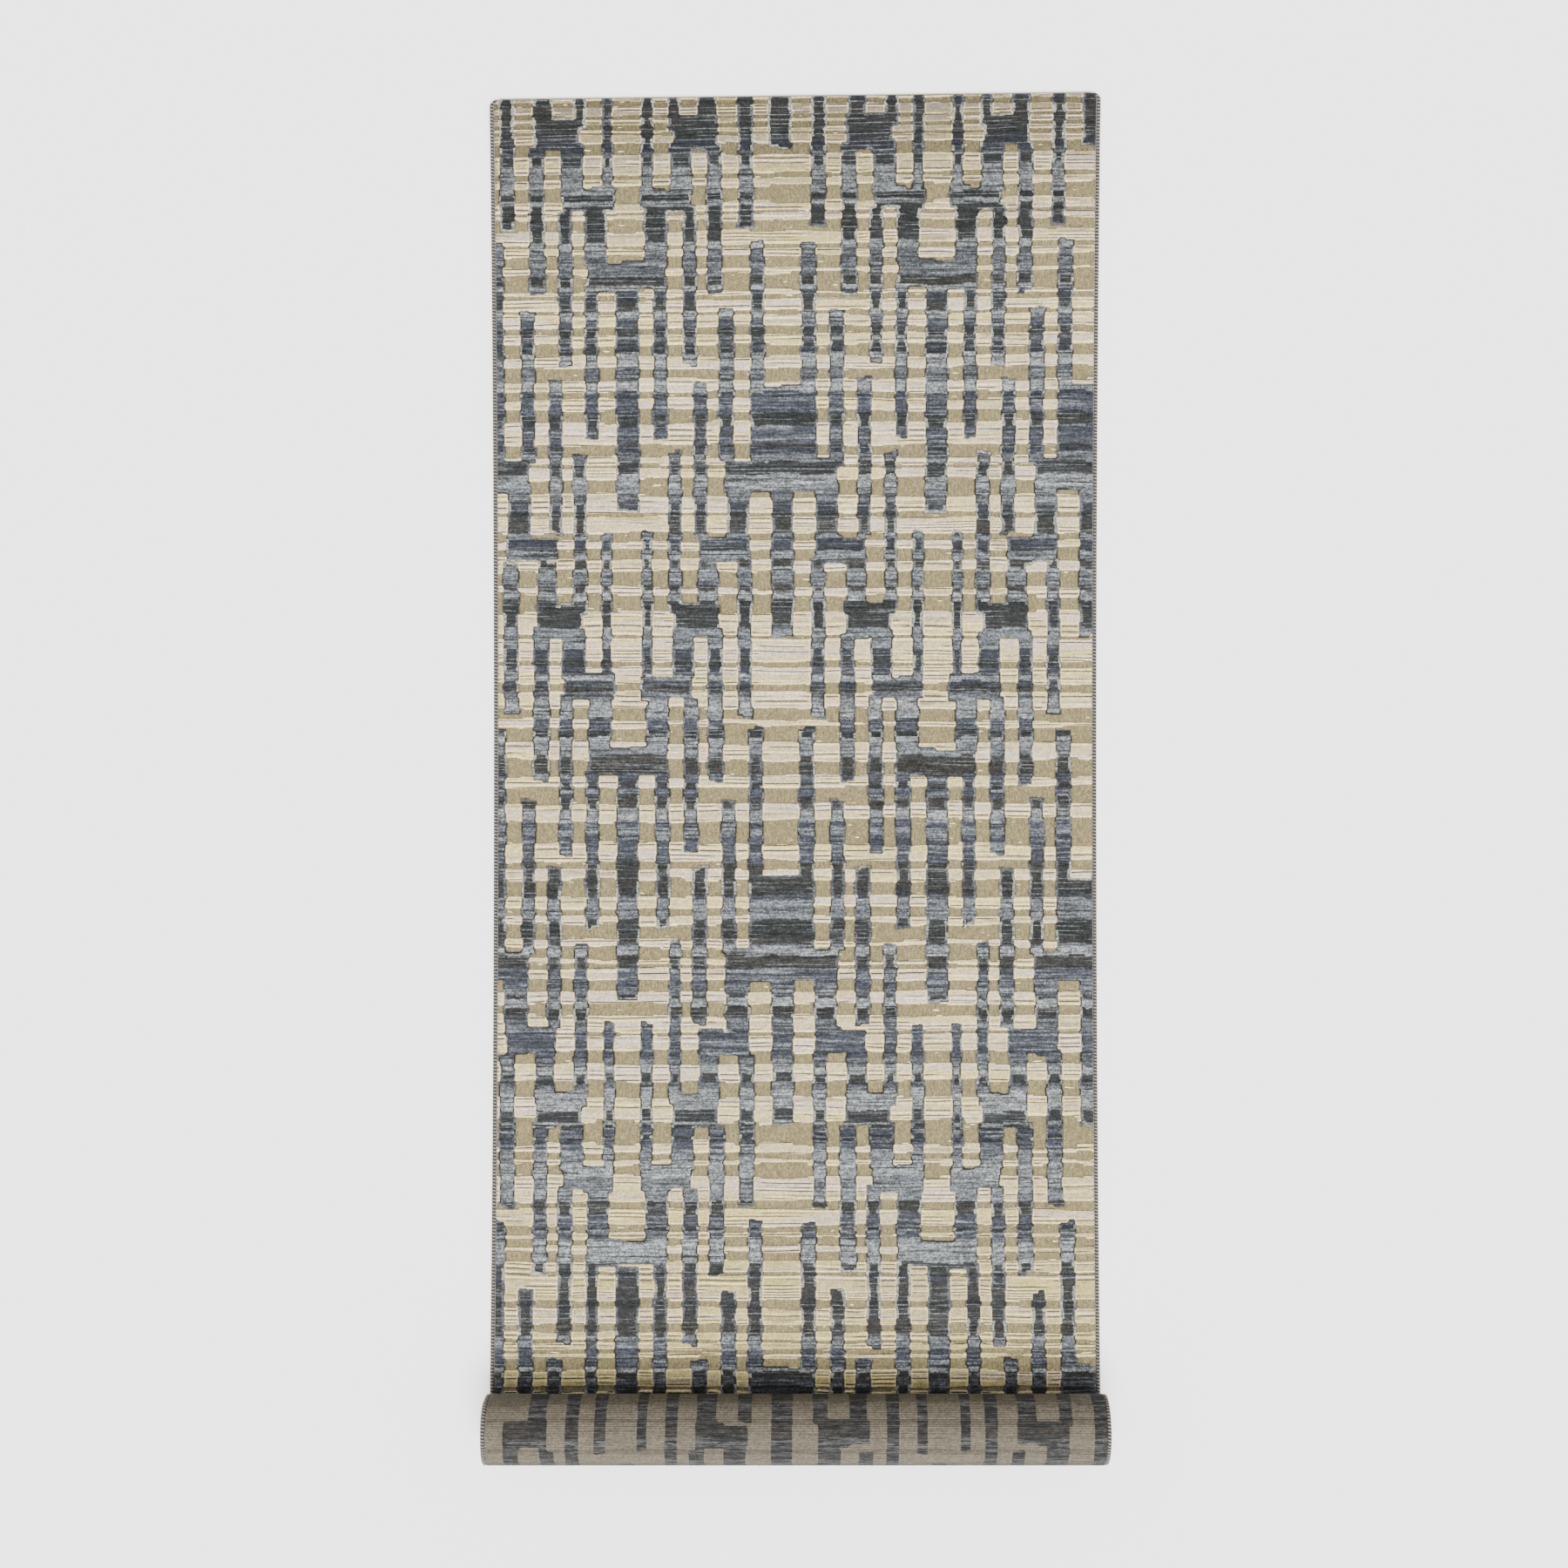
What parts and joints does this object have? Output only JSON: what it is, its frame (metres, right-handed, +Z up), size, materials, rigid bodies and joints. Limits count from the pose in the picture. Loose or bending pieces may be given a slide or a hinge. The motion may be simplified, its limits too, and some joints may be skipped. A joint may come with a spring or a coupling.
{
  "type": "runner rug",
  "caption": "Hand-knotted runner with high and low cut pile, laid face up with its foot end rolled in over the face.",
  "frame": {"origin": "centre of the rug's footprint on the floor, roll included", "axes": "+Y along the rug towards its head end (the roll lies at -Y), +X across the rug, +Z up out of the pile"},
  "size_m": [0.762, 1.708, 0.0886],
  "materials": {
    "foundation_weave": "matte knotted back, cotton wefts showing between the knots' bases",
    "ground_wool": "matte low-cut wool pile, khaki",
    "raised_pile_yarn": "high-cut wool and silk-like pile, ivory, silver, slate blue and charcoal, soft sheen",
    "warp_cotton": "undyed cotton, plain weave",
    "overcasting_wool": "wool yarn wound round the side cord, dark and light turns",
    "sewing_thread": "waxed cotton thread"
  },
  "bodies": {
    "root": {"foundation": "foundation_weave", "ground_pile": "ground_wool", "raised_pile": "raised_pile_yarn", "left_side_cord": "warp_cotton", "right_side_cord": "warp_cotton", "left_side_overcasting": "overcasting_wool", "right_side_overcasting": "overcasting_wool", "head_web": "warp_cotton", "foot_web": "warp_cotton", "head_hem_thread": "sewing_thread", "foot_hem_thread": "sewing_thread"}
  },
  "joints": []
}
